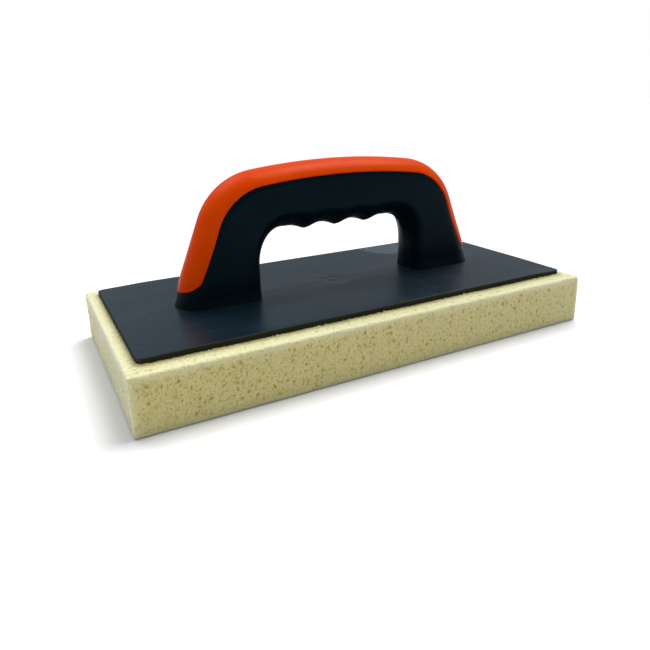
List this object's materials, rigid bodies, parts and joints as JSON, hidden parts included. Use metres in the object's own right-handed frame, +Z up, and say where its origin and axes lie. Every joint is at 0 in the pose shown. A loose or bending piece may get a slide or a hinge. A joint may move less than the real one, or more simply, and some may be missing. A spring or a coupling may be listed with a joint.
{
  "type": "grout float",
  "caption": "Rectangular sponge grout float with a flat backing plate and an arched closed handle with finger grooves and a soft strip over its outer side.",
  "frame": {"origin": "centre of the sponge's flat working face, at the bottom of the float", "axes": "+X along the float's length, +Y across its width, +Z up from the working face to the handle"},
  "size_m": [0.28, 0.14, 0.108],
  "materials": {
    "sponge": "matte",
    "adhesive": "satin",
    "plate_plastic": "satin",
    "handle_plastic": "satin",
    "grip_rubber": "satin",
    "screw_steel": "satin"
  },
  "bodies": {
    "root": {"sponge_pad": "sponge", "adhesive_layer": "adhesive", "base_plate": "plate_plastic", "handle_body": "handle_plastic", "grip_cover": "grip_rubber", "handle_screws": "screw_steel"}
  },
  "joints": []
}
